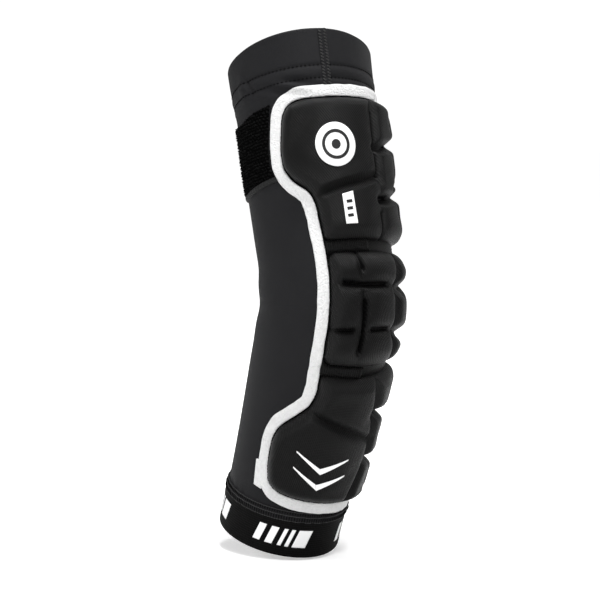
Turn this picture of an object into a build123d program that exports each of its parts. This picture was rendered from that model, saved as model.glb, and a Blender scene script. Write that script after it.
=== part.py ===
from build123d import *

# Padded elbow and forearm guard for the left arm, in millimetres.
#
# A knitted sleeve is bent at the elbow. A quilted pad in three sections covers its outer side,
# bordered by a sewn tape. The top cuff is a folded hem with a silicone gripper, the lower cuff
# is a woven elastic band, and a hook-and-loop strap closes the upper arm from behind.
#
# Frame: +Z up the arm, +X out of the elbow tip, -Y to the lateral side. The origin is the
# elbow's centre, on the sleeve's centreline. A place on the sleeve is given as an angle, from
# the elbow tip towards the lateral side, and a height along the section's own axis. Levels are
# heights above the bare sleeve's outer face.

import math
import os

# Sections of the sleeve: a straight upper arm, a curved elbow and a straight forearm.
ELBOW_HALF = 29.0  # centreline length from the elbow's centre to each flex line
LEAN = 16.0  # degrees that each straight section leans away from the elbow's axis
UPPER_LENGTH = 140.0  # upper flex line to the top rim, at its highest point
FOREARM_LENGTH = 134.5  # lower flex line to the bottom rim

# Outer radii of the bare sleeve.
R_ELBOW = 43.5
R_TOP = 47.0
R_WRIST = 39.0

# Layers.
FIT = 0.15  # clearance between neighbouring pieces
KNIT = 2.0  # thickness of the sleeve
BACKING = 0.8  # level of the backing sheet's top
COVER = 0.8  # thickness of the pad's cover
PAD = 9.0  # level of the cover's top
PRINT = 0.4
TAPE_WIDTH = 9.0
TAPE = 1.1
SEAM = 0.9
RIB_PITCH = 1.8  # between the three ribs of each strip on a flex line
RIB_RISE = 0.5

# Flex lines and the inner elbow.
FLEX_GAP = 3.3  # half of the bare strip that each flex line leaves between two pads
CREASE_FROM = 8.0  # the inner elbow's soft zone starts here, towards the tip from the centreline
CREASE_ANGLE = 30.0  # how steeply that zone spreads into each straight section
SHIELD = 78.0  # half angle of the elbow's stiffer outer half

# Pad outlines as (angle, height) points. Heights are negative on the forearm.
UPPER_OUTLINE = [(33.5, FLEX_GAP), (36, 14), (38, 27), (42, 37), (56, 46), (60, 55), (60, 66)]
UPPER_OUTLINE += [(56, 87), (50, 93.5), (-49, 93.5), (-56, 86), (-58, 34), (-60, FLEX_GAP)]
FOREARM_OUTLINE = [(32, -FLEX_GAP), (32, -16), (34.5, -26.5), (43.5, -34.5), (57, -46.5), (61, -56)]
FOREARM_OUTLINE += [(60.5, -72), (57, -84), (49, -89.5), (0, -93), (-56, -94.5), (-63, -88), (-64, -60)]
FOREARM_OUTLINE += [(-61, -FLEX_GAP)]
ELBOW_FROM, ELBOW_TO = -60.5, 33.0  # medial and lateral ends of the elbow pad

# Slits in the foam as (angle, height, length, degrees turned from along the arm).
GROOVE = 3.0
UPPER_SLITS = [(13, 38, 54, 105), (-15.5, 68, 58, 0), (-15.5, 10, 17, 0), (-36, 36, 44, 0)]
UPPER_SLITS += [(-51, 41, 18, 105), (-44, 67, 28, 100), (-25, 30, 13, 100), (-36, 83.5, 10, 0)]
ELBOW_SLITS = [(9, 18.5, 12, 0), (3, 11.5, 31, 90), (6, -7, 23, 0), (25, -9.5, 16, 90)]
ELBOW_SLITS += [(-10, -8.5, 13, 90), (-29, 0, 62, 0), (-52, 11, 16, 90), (-52, -15, 16, 90)]
FOREARM_SLITS = [(6, -37.5, 56, 68), (-22, -31, 68, 7), (-27.5, -79, 38, -9), (-32, -31, 10, 95)]
FOREARM_SLITS += [(-44, -33, 36, 0), (-57, -35, 18, 78), (-44, -66.5, 30, 79), (-46, -84, 10, 0)]

# Prints on the pads.
BADGE_PLACE = (19.5, 60.5)
BADGE_RADIUS = 13.5
BADGE_RIM = 2.0  # width of the badge's raised rim
BADGE_LEVELS = (0.9, 1.3)  # tops of its disc and of its rim, above the pad
SIDE_TAG = [(19, 31), (11, 33), (10, 12), (18, 12)]
CHEVRON = [(38, 0), (18.5, -9.5), (-3, -2.6), (-3, -3.8), (17.5, -13.5), (38, -1.2)]
CHEVRON_HEIGHTS = (-55.5, -67.0)

# Hook-and-loop strap on the upper arm.
STRAP = (75.5, 250.0, 44.0, 92.0)  # first and last angle, lower and upper edge
STRAP_THICK = 2.2
BINDING = 4.5  # height of the strap's bound lower edge
TAB = (284.0, 210.0, 49.0, 87.0)  # root angle, tip angle, lower and upper edge
TAB_LEVEL = 3.6
TAB_THICK = 1.6
TAB_GAP = 2.6  # angle between the tab's root and the seam it folds at
TAB_CORNER = 8.0  # radius of the tab's tip corners
HOOKS = (213.0, 247.0)  # angles covered by the hook patch under the tab
HOOK_MARGIN = 3.0

# Cuffs.
RIM_FACING = 30.0  # angle at which the top rim is highest
RIM_DROP = 20.0  # how much lower it is on the opposite side
SPARE = 6.0  # extra length that is trimmed off at the rim
HEM_FROM = 105.0  # lower edge of the folded hem
STITCH_ROWS = (108.5, 116.5)
NEEDLE_GAP = 2.6  # between the two threads of one row
THREAD = 0.6
HEM_BORE = 43.0
BAND_FROM = -108.5  # upper edge of the elastic band
BAND_BORE = 36.8
GRIP = 0.8  # thickness of both silicone grippers
TOP_GRIP = (106.0, 118.0)
LOW_GRIP = (-130.0, -114.0)
SEAM_ANGLE = 20.0  # the sleeve's closing seam
SEAM_WIDTH = 8.4  # degrees
LADDER = (-110.6, -106.4)  # the thread seam over the band's upper edge
RUNGS = 72
RUNG_WIDTH = 0.9  # degrees
LABEL = (196.0, 216.0, 84.0, 103.0)  # angles and heights, inside the sleeve's upper end

RC = ELBOW_HALF / math.radians(LEAN)  # radius of the elbow's curved centreline
ELBOW_AXIS = Axis((-RC, 0, 0), (0, 1, 0))
REACH = 80.0  # further out than any piece
CORE = 10.0  # closer to the axis than any piece
WIDE = 100.0  # angle to either side that holds every pad and its tape
TALL = 130.0  # height on either section that holds every pad and its tape


def section(side):
    """Location of a straight section: origin on its flex line, +Z up the arm."""
    turn = math.radians(LEAN) * side
    plane = Plane(
        origin=(RC * (math.cos(turn) - 1), 0, RC * math.sin(turn)),
        x_dir=(math.cos(turn), 0, math.sin(turn)),
        z_dir=(-math.sin(turn), 0, math.cos(turn)),
    )
    return plane.location


UPPER = section(1)
FOREARM = section(-1)


def radius(height):
    """Outer radius of the bare sleeve in a straight section."""
    if height >= 0:
        return R_ELBOW + (R_TOP - R_ELBOW) * height / UPPER_LENGTH
    return R_ELBOW + (R_WRIST - R_ELBOW) * height / -FOREARM_LENGTH


def outward(angle):
    turn = math.radians(angle)
    return Vector(math.cos(turn), -math.sin(turn), 0)


def turned(profile, start, end):
    """Revolves a profile in the XZ plane about the Z axis, between two angles."""
    face = make_face(Polyline(*profile, close=True))
    return revolve(face, Axis.Z, end - start).rotate(Axis.Z, -end)


def shell(low, high, inside, outside, start=0.0, end=360.0):
    """Piece of a straight section between two heights, two levels and two angles."""
    profile = [
        (radius(low) + inside, 0, low),
        (radius(low) + outside, 0, low),
        (radius(high) + outside, 0, high),
        (radius(high) + inside, 0, high),
    ]
    return turned(profile, start, end)


def ring(low, high, inner, outer, start=0.0, end=360.0):
    """Piece of a plain ring with true radii."""
    profile = [(inner, 0, low), (outer, 0, low), (outer, 0, high), (inner, 0, high)]
    return turned(profile, start, end)


def arc_point(angle, level):
    place = outward(angle) * (R_ELBOW + level)
    return (place.X, place.Y, 0)


def elbow_shell(inside, outside, start, end, low, high):
    """Piece of the elbow between two levels, two angles and two centreline heights."""
    middle = (start + end) / 2
    edges = [
        ThreePointArc(arc_point(start, outside), arc_point(middle, outside), arc_point(end, outside)),
        Line(arc_point(end, outside), arc_point(end, inside)),
        ThreePointArc(arc_point(end, inside), arc_point(middle, inside), arc_point(start, inside)),
        Line(arc_point(start, inside), arc_point(start, outside)),
    ]
    body = revolve(make_face(edges), ELBOW_AXIS, math.degrees((high - low) / RC))
    return body.rotate(ELBOW_AXIS, -math.degrees(high / RC))


def grown(points, amount):
    """Outline of (angle, height) points moved outwards, by millimetres."""
    scale = math.radians(1) * R_ELBOW
    flat = [Vector(angle * scale, height) for angle, height in points]
    following = flat[1:] + flat[:1]
    area = sum(a.X * b.Y - b.X * a.Y for a, b in zip(flat, following))
    turn = math.copysign(1, area)
    moved = []
    for before, here, after in zip(flat[-1:] + flat[:-1], flat, following):
        a = (here - before).normalized()
        b = (after - here).normalized()
        normal_a = Vector(a.Y, -a.X) * turn
        normal_b = Vector(b.Y, -b.X) * turn
        corner = here + (normal_a + normal_b) * (amount / (1 + normal_a.dot(normal_b)))
        moved.append((corner.X / scale, corner.Y))
    return moved


def wedge(points):
    """Solid with radial walls through an outline of (angle, height) points."""
    middle = (min(angle for angle, _ in points) + max(angle for angle, _ in points)) / 2
    axis = outward(middle)
    across = Vector(-math.sin(math.radians(middle)), -math.cos(math.radians(middle)), 0)

    def slice_at(reach):
        corners = []
        for angle, height in points:
            offset = reach * math.tan(math.radians(angle - middle))
            corners.append(axis * reach + across * offset + Vector(0, 0, height))
        return Wire.make_polygon(corners, close=True)

    return Solid.make_loft([slice_at(CORE), slice_at(REACH)], ruled=True)


def place_on(angle, height, along):
    """Location on the centreline, facing outwards at an angle, with X up the arm before turning."""
    plane = Plane(origin=(0, 0, height), x_dir=(0, 0, 1), z_dir=outward(angle))
    return plane.location * Rot(0, 0, along)


def slots(slits, width, inside, outside):
    """Straight section's slits as solids of one width, between two levels."""
    cuts = []
    for angle, height, length, along in slits:
        slot = extrude(SlotOverall(length - GROOVE + width, width), REACH)
        reach = length / 2 + 1
        band = shell(height - reach, height + reach, inside, outside, angle - 60, angle + 60)
        cuts.append((place_on(angle, height, along) * slot) & band)
    return cuts


def elbow_slots(slits, width, inside, outside):
    """Elbow's slits as solids of one width, between two levels."""
    cuts = []
    for angle, height, length, along in slits:
        half = (length - GROOVE + width) / 2
        across = math.degrees((half if along else width / 2) / R_ELBOW)
        up = width / 2 if along else half
        sides = (angle - across, angle + across)
        cuts.append(elbow_shell(inside, outside, *sides, height - up, height + up))
    return cuts


def minus(body, cuts):
    for cut in cuts:
        body = body - cut
    return body


def pad_volume(outline, inset, inside, outside):
    """Plain pad of a straight section, with no slits."""
    heights = [height for _, height in outline]
    full = shell(min(heights) - 1, max(heights) + 1, inside, outside, -WIDE, WIDE)
    return full & wedge(grown(outline, -inset))


def elbow_volume(inset, inside, outside):
    """Plain pad of the elbow section, with no slits."""
    side = math.degrees(inset / R_ELBOW)
    high = ELBOW_HALF - FLEX_GAP - inset
    return elbow_shell(inside, outside, ELBOW_FROM + side, ELBOW_TO - side, -high, high)


def pad_pieces(volume, cutters, slits):
    """Cover, foam blocks and backing sheet of one pad section."""
    wall = GROOVE - 2 * FIT
    foam = volume(COVER + FIT, BACKING + FIT, PAD - COVER - FIT)
    foam = minus(foam, cutters(slits, GROOVE, 0, PAD))
    cavity = volume(COVER, BACKING - 1, PAD - COVER)
    cavity = minus(cavity, cutters(slits, wall, -1, PAD + 1))
    cover = volume(0, BACKING, PAD) - cavity
    cover = minus(cover, cutters(slits, wall - 2 * COVER, BACKING + COVER, PAD + 1))
    backing = volume(0, FIT, BACKING - FIT)
    return cover, foam, backing


def solids(*shapes):
    """One compound of separate solids."""
    return Compound(children=[solid for shape in shapes for solid in shape.solids()])


def crease_cut(back):
    """What the inner elbow's soft zone takes out of the upper arm, moved back by a clearance."""
    rise = math.tan(math.radians(CREASE_ANGLE))
    low = FLEX_GAP - back
    corners = [
        (REACH, low),
        (CREASE_FROM, low),
        (-REACH, low + (REACH + CREASE_FROM) * rise),
        (-REACH, -REACH),
        (REACH, -REACH),
    ]
    face = Plane.XZ * make_face(Polyline(*corners, close=True))
    return extrude(face, REACH, both=True)


def mirrored(shape):
    return mirror(shape, about=Plane.XY)


def rim_cut():
    """Everything above the slanted top rim."""
    slope = math.atan2(RIM_DROP / 2, R_TOP)
    axis = outward(RIM_FACING)
    normal = Vector(-axis.X * math.sin(slope), -axis.Y * math.sin(slope), math.cos(slope))
    rim = Plane(origin=(0, 0, UPPER_LENGTH - RIM_DROP / 2), x_dir=normal.cross(axis), z_dir=normal)
    return rim.location * Pos(0, 0, REACH / 2) * Box(3 * REACH, 3 * REACH, REACH)


def sleeve_pieces():
    """Knitted tube: two straight parts, the elbow's outer half and a soft zone at each flex line."""
    upper = shell(0, UPPER_LENGTH + SPARE, -KNIT, 0) - crease_cut(0) - rim_cut()
    forearm = shell(BAND_FROM + FIT, 0, -KNIT, 0) - mirrored(crease_cut(0))
    high = ELBOW_HALF - FLEX_GAP
    elbow = elbow_shell(-KNIT, 0, -SHIELD, SHIELD, -high, high)
    side = SHIELD + math.degrees(FIT / R_ELBOW)
    window = elbow_shell(-KNIT - 1, 1, -side, side, -high - FIT, high + FIT)
    soft = UPPER * (shell(0, UPPER_LENGTH / 2, -KNIT, 0) & crease_cut(FIT)) + elbow_half_ring()
    soft = soft - window
    return UPPER * upper, elbow, FOREARM * forearm, soft, mirrored(soft)


def elbow_half_ring():
    """Full knitted ring from just above the elbow's centre to the upper flex line."""
    annulus = Circle(R_ELBOW) - Circle(R_ELBOW - KNIT)
    body = revolve(annulus, ELBOW_AXIS, LEAN - math.degrees(FIT / RC))
    return body.rotate(ELBOW_AXIS, -LEAN)


def tape(outline, side):
    """Sewn tape around three sides of a straight section's pad."""
    low, high = (FLEX_GAP, TALL) if side > 0 else (-TALL, -FLEX_GAP)
    wide = shell(low, high, FIT, TAPE, -WIDE, WIDE)
    inner = wedge(grown(outline, FIT))
    return (wide & wedge(grown(outline, TAPE_WIDTH))) - inner


def elbow_tape():
    high = ELBOW_HALF - FLEX_GAP
    width = math.degrees(TAPE_WIDTH / R_ELBOW)
    gap = math.degrees(FIT / R_ELBOW)
    lateral = elbow_shell(FIT, TAPE, ELBOW_TO + gap, ELBOW_TO + width, -high, high)
    medial = elbow_shell(FIT, TAPE, ELBOW_FROM - width, ELBOW_FROM - gap, -high, high)
    return solids(lateral, medial)


def flex_ring(inside, outside, start, end, half):
    """Piece across the upper flex line, in that section's frame."""
    return ring(-half, half, R_ELBOW + inside, R_ELBOW + outside, start, end)


def tape_bridges():
    """Lengths of the tape that cross the upper flex line."""
    width = math.degrees(TAPE_WIDTH / R_ELBOW)
    half = FLEX_GAP - FIT
    lateral = flex_ring(FIT, TAPE, ELBOW_TO + 0.5, ELBOW_TO + width, half)
    medial = flex_ring(FIT, TAPE, ELBOW_FROM - width, ELBOW_FROM - 0.5, half)
    return UPPER * solids(lateral, medial)


def seam_strip():
    """Ribbed strip between two pads, on the upper flex line."""
    base = flex_ring(FIT, SEAM, ELBOW_FROM, ELBOW_TO, FLEX_GAP - 3 * FIT)
    ribs = []
    for height in (-RIB_PITCH, 0, RIB_PITCH):
        rib = flex_ring(SEAM - FIT, SEAM + RIB_RISE, ELBOW_FROM, ELBOW_TO, RIB_RISE)
        ribs.append(Pos(0, 0, height) * rib)
    return UPPER * (base + ribs)


def print_on(outline, level, thick):
    heights = [height for _, height in outline]
    band = shell(min(heights) - 1, max(heights) + 1, level, level + thick, -60, 60)
    return band & wedge(outline)


def badge():
    """Round badge with a plain raised rim."""
    angle, height = BADGE_PLACE
    outer = place_on(angle, height, 0) * Cylinder(BADGE_RADIUS, 2 * REACH)
    inner = place_on(angle, height, 0) * Cylinder(BADGE_RADIUS - BADGE_RIM, 2 * REACH)
    low, high = height - BADGE_RADIUS - 1, height + BADGE_RADIUS + 1
    disc_top, rim_top = BADGE_LEVELS
    disc = shell(low, high, PAD + FIT, PAD + disc_top, angle - 30, angle + 30) & outer
    rim = shell(low, high, PAD + disc_top - FIT, PAD + rim_top, angle - 30, angle + 30) & outer
    rim = rim - inner
    return UPPER * (disc + rim)


def chevrons():
    marks = []
    for top in CHEVRON_HEIGHTS:
        outline = [(angle, top + height) for angle, height in CHEVRON]
        marks.append(print_on(outline, PAD + FIT, PRINT))
    return FOREARM * solids(*marks)


def strap_pieces():
    """Loop-pile strap, its bound edge, the closing tab, its hook patch and its sewn root."""
    start, end, low, high = STRAP
    root, tip, tab_low, tab_high = TAB
    pile = shell(low + BINDING + FIT, high, FIT, STRAP_THICK, start, end)
    binding = shell(low, low + BINDING, FIT, STRAP_THICK - 0.3, start, end)
    tab = shell(tab_low, tab_high, TAB_LEVEL, TAB_LEVEL + TAB_THICK, tip, root)
    rounding = place_on(tip + TAB_CORNER, (tab_low + tab_high) / 2, 0)
    corner = RectangleRounded(tab_high - tab_low, 2 * R_TOP, TAB_CORNER)
    tab = tab & (rounding * Pos(0, R_TOP - TAB_CORNER - 1, 0) * extrude(corner, REACH))
    edges = (tab_low + HOOK_MARGIN, tab_high - HOOK_MARGIN)
    hooks = shell(*edges, STRAP_THICK + FIT, TAB_LEVEL - FIT, *HOOKS)
    anchor = shell(tab_low, tab_high, FIT, TAB_LEVEL + TAB_THICK, root + TAB_GAP, root + 6)
    return [UPPER * shape for shape in (pile, binding, tab, hooks, anchor)]


def stitch_rows():
    """Two double rows of thread around the hem, broken where the closing seam crosses them."""
    rows = []
    start = SEAM_ANGLE + SEAM_WIDTH / 2 + 0.5
    for height in STITCH_ROWS:
        for offset in (-NEEDLE_GAP / 2, NEEDLE_GAP / 2):
            low = height + offset - THREAD / 2
            rows.append(shell(low, low + THREAD, FIT, THREAD, start, start + 359 - SEAM_WIDTH))
    return UPPER * solids(*rows)


def closing_seam():
    """Flat seam from the tape to the top rim."""
    half = SEAM_WIDTH / 2
    strip = shell(HEM_FROM + 1, UPPER_LENGTH + SPARE, FIT, SEAM, SEAM_ANGLE - half, SEAM_ANGLE + half)
    return UPPER * (strip - rim_cut())


def hem():
    """Folded inside layer of the top cuff, with a true round bore."""
    top = UPPER_LENGTH + SPARE
    profile = [
        (HEM_BORE, 0, HEM_FROM),
        (radius(HEM_FROM) - KNIT - FIT, 0, HEM_FROM),
        (radius(top) - KNIT - FIT, 0, top),
        (HEM_BORE, 0, top),
    ]
    return UPPER * (turned(profile, 0, 360) - rim_cut())


def gripper(heights, bore):
    """Silicone ring inside a cuff, with shallow grooves around it."""
    low, high = heights
    return ring(low, high, bore - GRIP, bore - FIT / 3)


def ladder_seam():
    """Two threads around the sleeve joined by rungs, over the cuff band's upper edge."""
    low, high = LADDER
    body = shell(low, low + THREAD, 2 * THREAD, 3 * THREAD)
    body = body + shell(high - THREAD, high, 2 * THREAD, 3 * THREAD)
    for index in range(RUNGS):
        angle = index * 360 / RUNGS
        body = body + shell(low, high, 2 * THREAD, 3 * THREAD - 0.1, angle, angle + RUNG_WIDTH)
    return FOREARM * body


def cuff_band():
    """Woven elastic band with a true round bore."""
    profile = [
        (BAND_BORE, 0, -FOREARM_LENGTH),
        (R_WRIST + 2 * THREAD - FIT, 0, -FOREARM_LENGTH),
        (radius(BAND_FROM) + 2 * THREAD - FIT, 0, BAND_FROM),
        (BAND_BORE, 0, BAND_FROM),
    ]
    return FOREARM * turned(profile, 0, 360)


def label():
    start, end, low, high = LABEL
    return UPPER * shell(low, high, -KNIT - 0.5, -KNIT - FIT, start, end)


def pad_nodes():
    """Cover, foam and backing of all three pad sections."""
    nodes = {}

    def upper(inset, inside, outside):
        return pad_volume(UPPER_OUTLINE, inset, inside, outside)

    def forearm(inset, inside, outside):
        return pad_volume(FOREARM_OUTLINE, inset, inside, outside)

    sections = [
        ("upper", upper, slots, UPPER_SLITS, UPPER),
        ("elbow", elbow_volume, elbow_slots, ELBOW_SLITS, Location()),
        ("forearm", forearm, slots, FOREARM_SLITS, FOREARM),
    ]
    for name, volume, cutters, slits, place in sections:
        cover, foam, backing = pad_pieces(volume, cutters, slits)
        nodes[name + "_pad_cover"] = place * cover
        nodes[name + "_pad_foam"] = place * foam
        nodes[name + "_pad_backing"] = place * backing
    return nodes


def all_nodes():
    nodes = pad_nodes()
    sleeve = sleeve_pieces()
    names = ("sleeve_upper", "sleeve_elbow", "sleeve_forearm", "flex_zone_upper", "flex_zone_lower")
    nodes.update(zip(names, sleeve))
    nodes["tape_upper"] = UPPER * tape(UPPER_OUTLINE, 1)
    nodes["tape_elbow"] = elbow_tape()
    nodes["tape_forearm"] = FOREARM * tape(FOREARM_OUTLINE, -1)
    nodes["tape_bridge_upper"] = tape_bridges()
    nodes["tape_bridge_lower"] = mirrored(tape_bridges())
    nodes["seam_strip_upper"] = seam_strip()
    nodes["seam_strip_lower"] = mirrored(seam_strip())
    nodes["badge_disc"] = badge()
    nodes["side_tag"] = UPPER * print_on(SIDE_TAG, PAD + FIT, 2 * PRINT)
    nodes["chevron_prints"] = chevrons()
    names = ("strap_loop_pile", "strap_binding", "strap_tab", "tab_hook_patch", "tab_root_seam")
    nodes.update(zip(names, strap_pieces()))
    nodes["top_hem_stitching"] = stitch_rows()
    nodes["closing_seam"] = closing_seam()
    nodes["top_cuff_hem"] = hem()
    nodes["top_gripper"] = UPPER * gripper(TOP_GRIP, HEM_BORE)
    nodes["cuff_gripper"] = FOREARM * gripper(LOW_GRIP, BAND_BORE)
    nodes["cuff_ladder_seam"] = ladder_seam()
    nodes["cuff_elastic_band"] = cuff_band()
    nodes["care_label"] = label()
    return nodes


os.makedirs("parts", exist_ok=True)
for name, shape in all_nodes().items():
    export_step(solids(shape), f"parts/{name}.step")
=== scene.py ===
import math

import bmesh
import bpy
import numpy as np
from mathutils import Matrix, Vector


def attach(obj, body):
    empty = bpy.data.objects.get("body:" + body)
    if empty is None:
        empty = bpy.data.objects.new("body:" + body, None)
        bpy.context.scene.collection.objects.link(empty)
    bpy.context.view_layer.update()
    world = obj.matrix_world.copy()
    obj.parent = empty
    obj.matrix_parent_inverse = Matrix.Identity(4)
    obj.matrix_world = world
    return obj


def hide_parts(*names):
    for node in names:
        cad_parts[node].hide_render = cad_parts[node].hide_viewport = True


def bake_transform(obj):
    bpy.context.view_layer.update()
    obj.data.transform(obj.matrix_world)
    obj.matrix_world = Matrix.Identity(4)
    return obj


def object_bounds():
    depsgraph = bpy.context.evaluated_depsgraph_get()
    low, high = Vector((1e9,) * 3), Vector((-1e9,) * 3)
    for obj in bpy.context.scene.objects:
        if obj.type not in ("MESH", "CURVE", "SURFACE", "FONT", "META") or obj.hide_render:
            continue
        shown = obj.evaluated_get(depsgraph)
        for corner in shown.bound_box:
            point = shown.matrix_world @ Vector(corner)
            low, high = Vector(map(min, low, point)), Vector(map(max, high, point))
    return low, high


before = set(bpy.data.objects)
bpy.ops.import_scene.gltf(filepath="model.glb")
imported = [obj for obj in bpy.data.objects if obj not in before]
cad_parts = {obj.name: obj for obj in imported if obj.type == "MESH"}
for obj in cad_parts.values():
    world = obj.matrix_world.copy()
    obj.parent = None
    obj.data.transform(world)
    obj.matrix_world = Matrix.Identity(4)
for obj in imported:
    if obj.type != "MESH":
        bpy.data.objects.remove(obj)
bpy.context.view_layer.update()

# Lengths are millimetres and angles degrees until a mesh is made. A place on the guard is
# (angle, along, level): the angle from the elbow tip towards the lateral side, the distance
# along the centreline from the elbow's centre, and the height above the bare sleeve.
ELBOW_HALF = 29.0
LEAN = math.radians(16)
RC = ELBOW_HALF / LEAN
R_ELBOW, R_TOP, R_WRIST = 43.5, 47.0, 39.0
R_UNROLLED, R_PAD, R_KNIT, R_BAND = R_ELBOW + 2, 50.0, 45.0, 40.0  # where flat lengths are true
UPPER_LENGTH, FOREARM_LENGTH = 140.0, 134.5
KNIT = 2.0  # thickness of the sleeve's cloth
PAD, DOME = 8.4, 1.9  # thickness at a pillow's shoulder and its extra rise in the middle
PAD_EDGE, FLEX_EDGE = 7.5, 12.0  # widths over which a pillow rises from its seams and flex lines
FLEX_GAP, FLEX_LEVEL = 2.5, 2.5  # half the gap between two pads, and the foam's height beside it
SINK = 1.25  # depth of a cut for each millimetre of its drop
RIM_TOP, RIM_DROP, RIM_FACING = 169.3, 22.0, 30.0
STITCH_ROWS = (137.8, 146.2)
STITCH_DROP = 9.0
SEAM_ANGLE, SEAM_SPREAD = 17.5, 3.7  # the closing seam's place and half width
STRAP_TO, STRAP_LOW, STRAP_HIGH, BINDING = 250.0, 73.0, 121.0, 3.6
STRAP_HEIGHT = STRAP_HIGH - STRAP_LOW
BADGE = (19.5, 92.0)  # the round badge's centre
BADGE_REACH, BADGE_TALL = 56.0, 1.05  # its distance from the centreline, and its height over its width
STRIP_FOLD = -2.0  # past this angle the ribbed strips sink between the pads
CURL = 2.1  # height of one row of the strap's loops
TAB_ROOT, TAB_TIP, TAB_LOW, TAB_HIGH, TAB_LEVEL = 284.0, 210.0, 78.0, 116.0, 3.6
TAB_REACH, TAB_CORNER = 51.0, 8.0  # the tab's distance from the centreline and its corner radius
BAND_TOP, BAND_END = -137.8, -163.5
CLOTH_FRAMES, CLOTH_PRESSURE, CLOTH_SLACK = 20, 4.0, 0.05
CLOTH_LOWEST, CLOTH_HIGHEST, CLOTH_KEPT = -0.8, 1.3, 0.6  # limits of the cloth's change, and its share
CAMERA_TURN, CAMERA_RISE, CAMERA_ROLL = 53.98, 5.12, 2.67
CAMERA_DISTANCE, CAMERA_LENS, CAMERA_SHIFT = 1.3, 119.8, (-0.0427, 0.00423)
NOISE = np.random.default_rng(7)

OUTLINE = [
    (23, 124.5), (41, 124.5), (51, 122), (56, 116), (60.5, 95), (60.5, 83), (54, 74), (40.5, 65),
    (37, 56), (35.5, 43), (33.5, 27), (32, 13), (32, -5), (33, -17), (32.5, -31), (31.5, -45), (34, -55),
    (43, -63), (57.5, -75), (61.5, -85), (61, -101), (57.5, -113.5), (49.5, -118.5), (36, -120.5),
    (17, -122), (-3, -123), (-30, -125), (-54, -124), (-63, -117), (-65, -90), (-64, -55), (-61.5, -20),
    (-60.5, 10), (-59, 40), (-57, 80), (-57, 111), (-51, 121), (-38, 124.5),
]

# Each line is its (angle, along) points and its drop. Slits are narrow cuts between pillows, and
# valleys are soft dips that carry on past them.
SLITS = [
    ([(-15, 114), (-16, 72)], 4.4), ([(-15, 48), (-16, 33)], 3.8), ([(-33, 93), (-51, 97)], 3.6),
    ([(-16, 58), (-29, 60)], 3.4), ([(-44, 88), (-44, 50)], 3.0), ([(-46, 69), (-56, 74)], 3.2),
    ([(-44, 118), (-44, 110)], 2.4), ([(10.5, 25), (8, 18)], 3.4), ([(22, 12), (7, 11), (-16, 11)], 5.2),
    ([(6, 4), (5.5, -10), (7.5, -18)], 5.2), ([(31, -9.5), (14, -9)], 4.0), ([(-2, -8.5), (-17, -8.5)], 4.0),
    ([(-30, 24), (-28, 4)], 3.8), ([(-27, -8), (-31, -25)], 3.8), ([(-62, 13), (-47, 9)], 3.6),
    ([(-62, -14), (-44, -16)], 3.6), ([(-21, -58), (-31, -60)], 3.4), ([(-31, -93), (-42, -95)], 3.4),
    ([(-46, -44), (-46, -83)], 3.2), ([(-64, -67), (-50, -63)], 3.2), ([(-61, -99), (-44, -96)], 3.2),
    ([(-46, -110), (-46, -118)], 2.6),
]
VALLEYS = [
    ([(39, 60), (24, 64), (15, 66), (2, 69), (-15, 73)], 4.6), ([(-15, 124), (-16, 70)], 4.2),
    ([(-16, 72), (-17, 32)], 2.2), ([(-15, 91), (-33, 93), (-57, 99)], 6.4),
    ([(-16, 57), (-38, 61), (-57, 64)], 6.2), ([(-44, 40), (-44, 124)], 1.6), ([(-38, 66), (-57, 75)], 3.0),
    ([(11, 27), (8, 11)], 2.4), ([(32, 12), (7, 11), (-27, 11)], 3.6), ([(-27, 9), (-45, 9), (-62, 13)], 6.2),
    ([(7, 11), (6, -4), (8, -27)], 2.8), ([(33, -10), (6, -9), (-27, -9)], 3.0),
    ([(-27, -10), (-62, -15)], 6.2), ([(-32, 27), (-28, 0), (-32, -27)], 4.6),
    ([(36, -56), (28, -60), (17, -64), (3, -68), (-10, -72), (-26, -77)], 4.6),
    ([(-16, -31), (-21, -45), (-24, -60), (-26, -76), (-26, -94), (-21, -108), (-14, -123)], 5.0),
    ([(-24, -59), (-43, -61)], 6.2), ([(-27, -93), (-43, -95)], 6.2), ([(-46, -34), (-46, -90)], 1.8),
    ([(-43, -61), (-64, -67)], 6.2), ([(-43, -95), (-63, -99)], 6.2), ([(-46, -96), (-46, -124)], 2.6),
]


def hump(x, centre, width):
    """1 at a centre, falling smoothly to both sides over a width."""
    return np.exp(-(((x - centre) / width) ** 2))


def skin_radius(along):
    """Radius of the bare sleeve."""
    upper = (R_TOP - R_ELBOW) * np.clip(along - ELBOW_HALF, 0, None) / UPPER_LENGTH
    lower = (R_ELBOW - R_WRIST) * np.clip(-along - ELBOW_HALF, 0, None) / FOREARM_LENGTH
    return R_ELBOW + upper - lower


def surface(angle, along, level):
    """Points in the model's frame, in metres."""
    angle, along, level = np.broadcast_arrays(np.asarray(angle, float), along, level)
    bend = np.clip(along, -ELBOW_HALF, ELBOW_HALF) / RC
    straight = along - np.clip(along, -ELBOW_HALF, ELBOW_HALF)
    turn = np.radians(angle)
    reach = skin_radius(along) + level
    out = reach * np.cos(turn)
    x = RC * (np.cos(bend) - 1) - straight * np.sin(bend) + out * np.cos(bend)
    z = RC * np.sin(bend) + straight * np.cos(bend) + out * np.sin(bend)
    return np.stack([x, -reach * np.sin(turn), z], -1) / 1000


def flat(angle, along):
    """Millimetre coordinates on the unrolled sleeve."""
    return np.radians(angle) * R_UNROLLED, np.asarray(along, float)


def unrolled(points):
    """Flat millimetre points of (angle, along) places."""
    return np.array([flat(a, t) for a, t in points])


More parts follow.
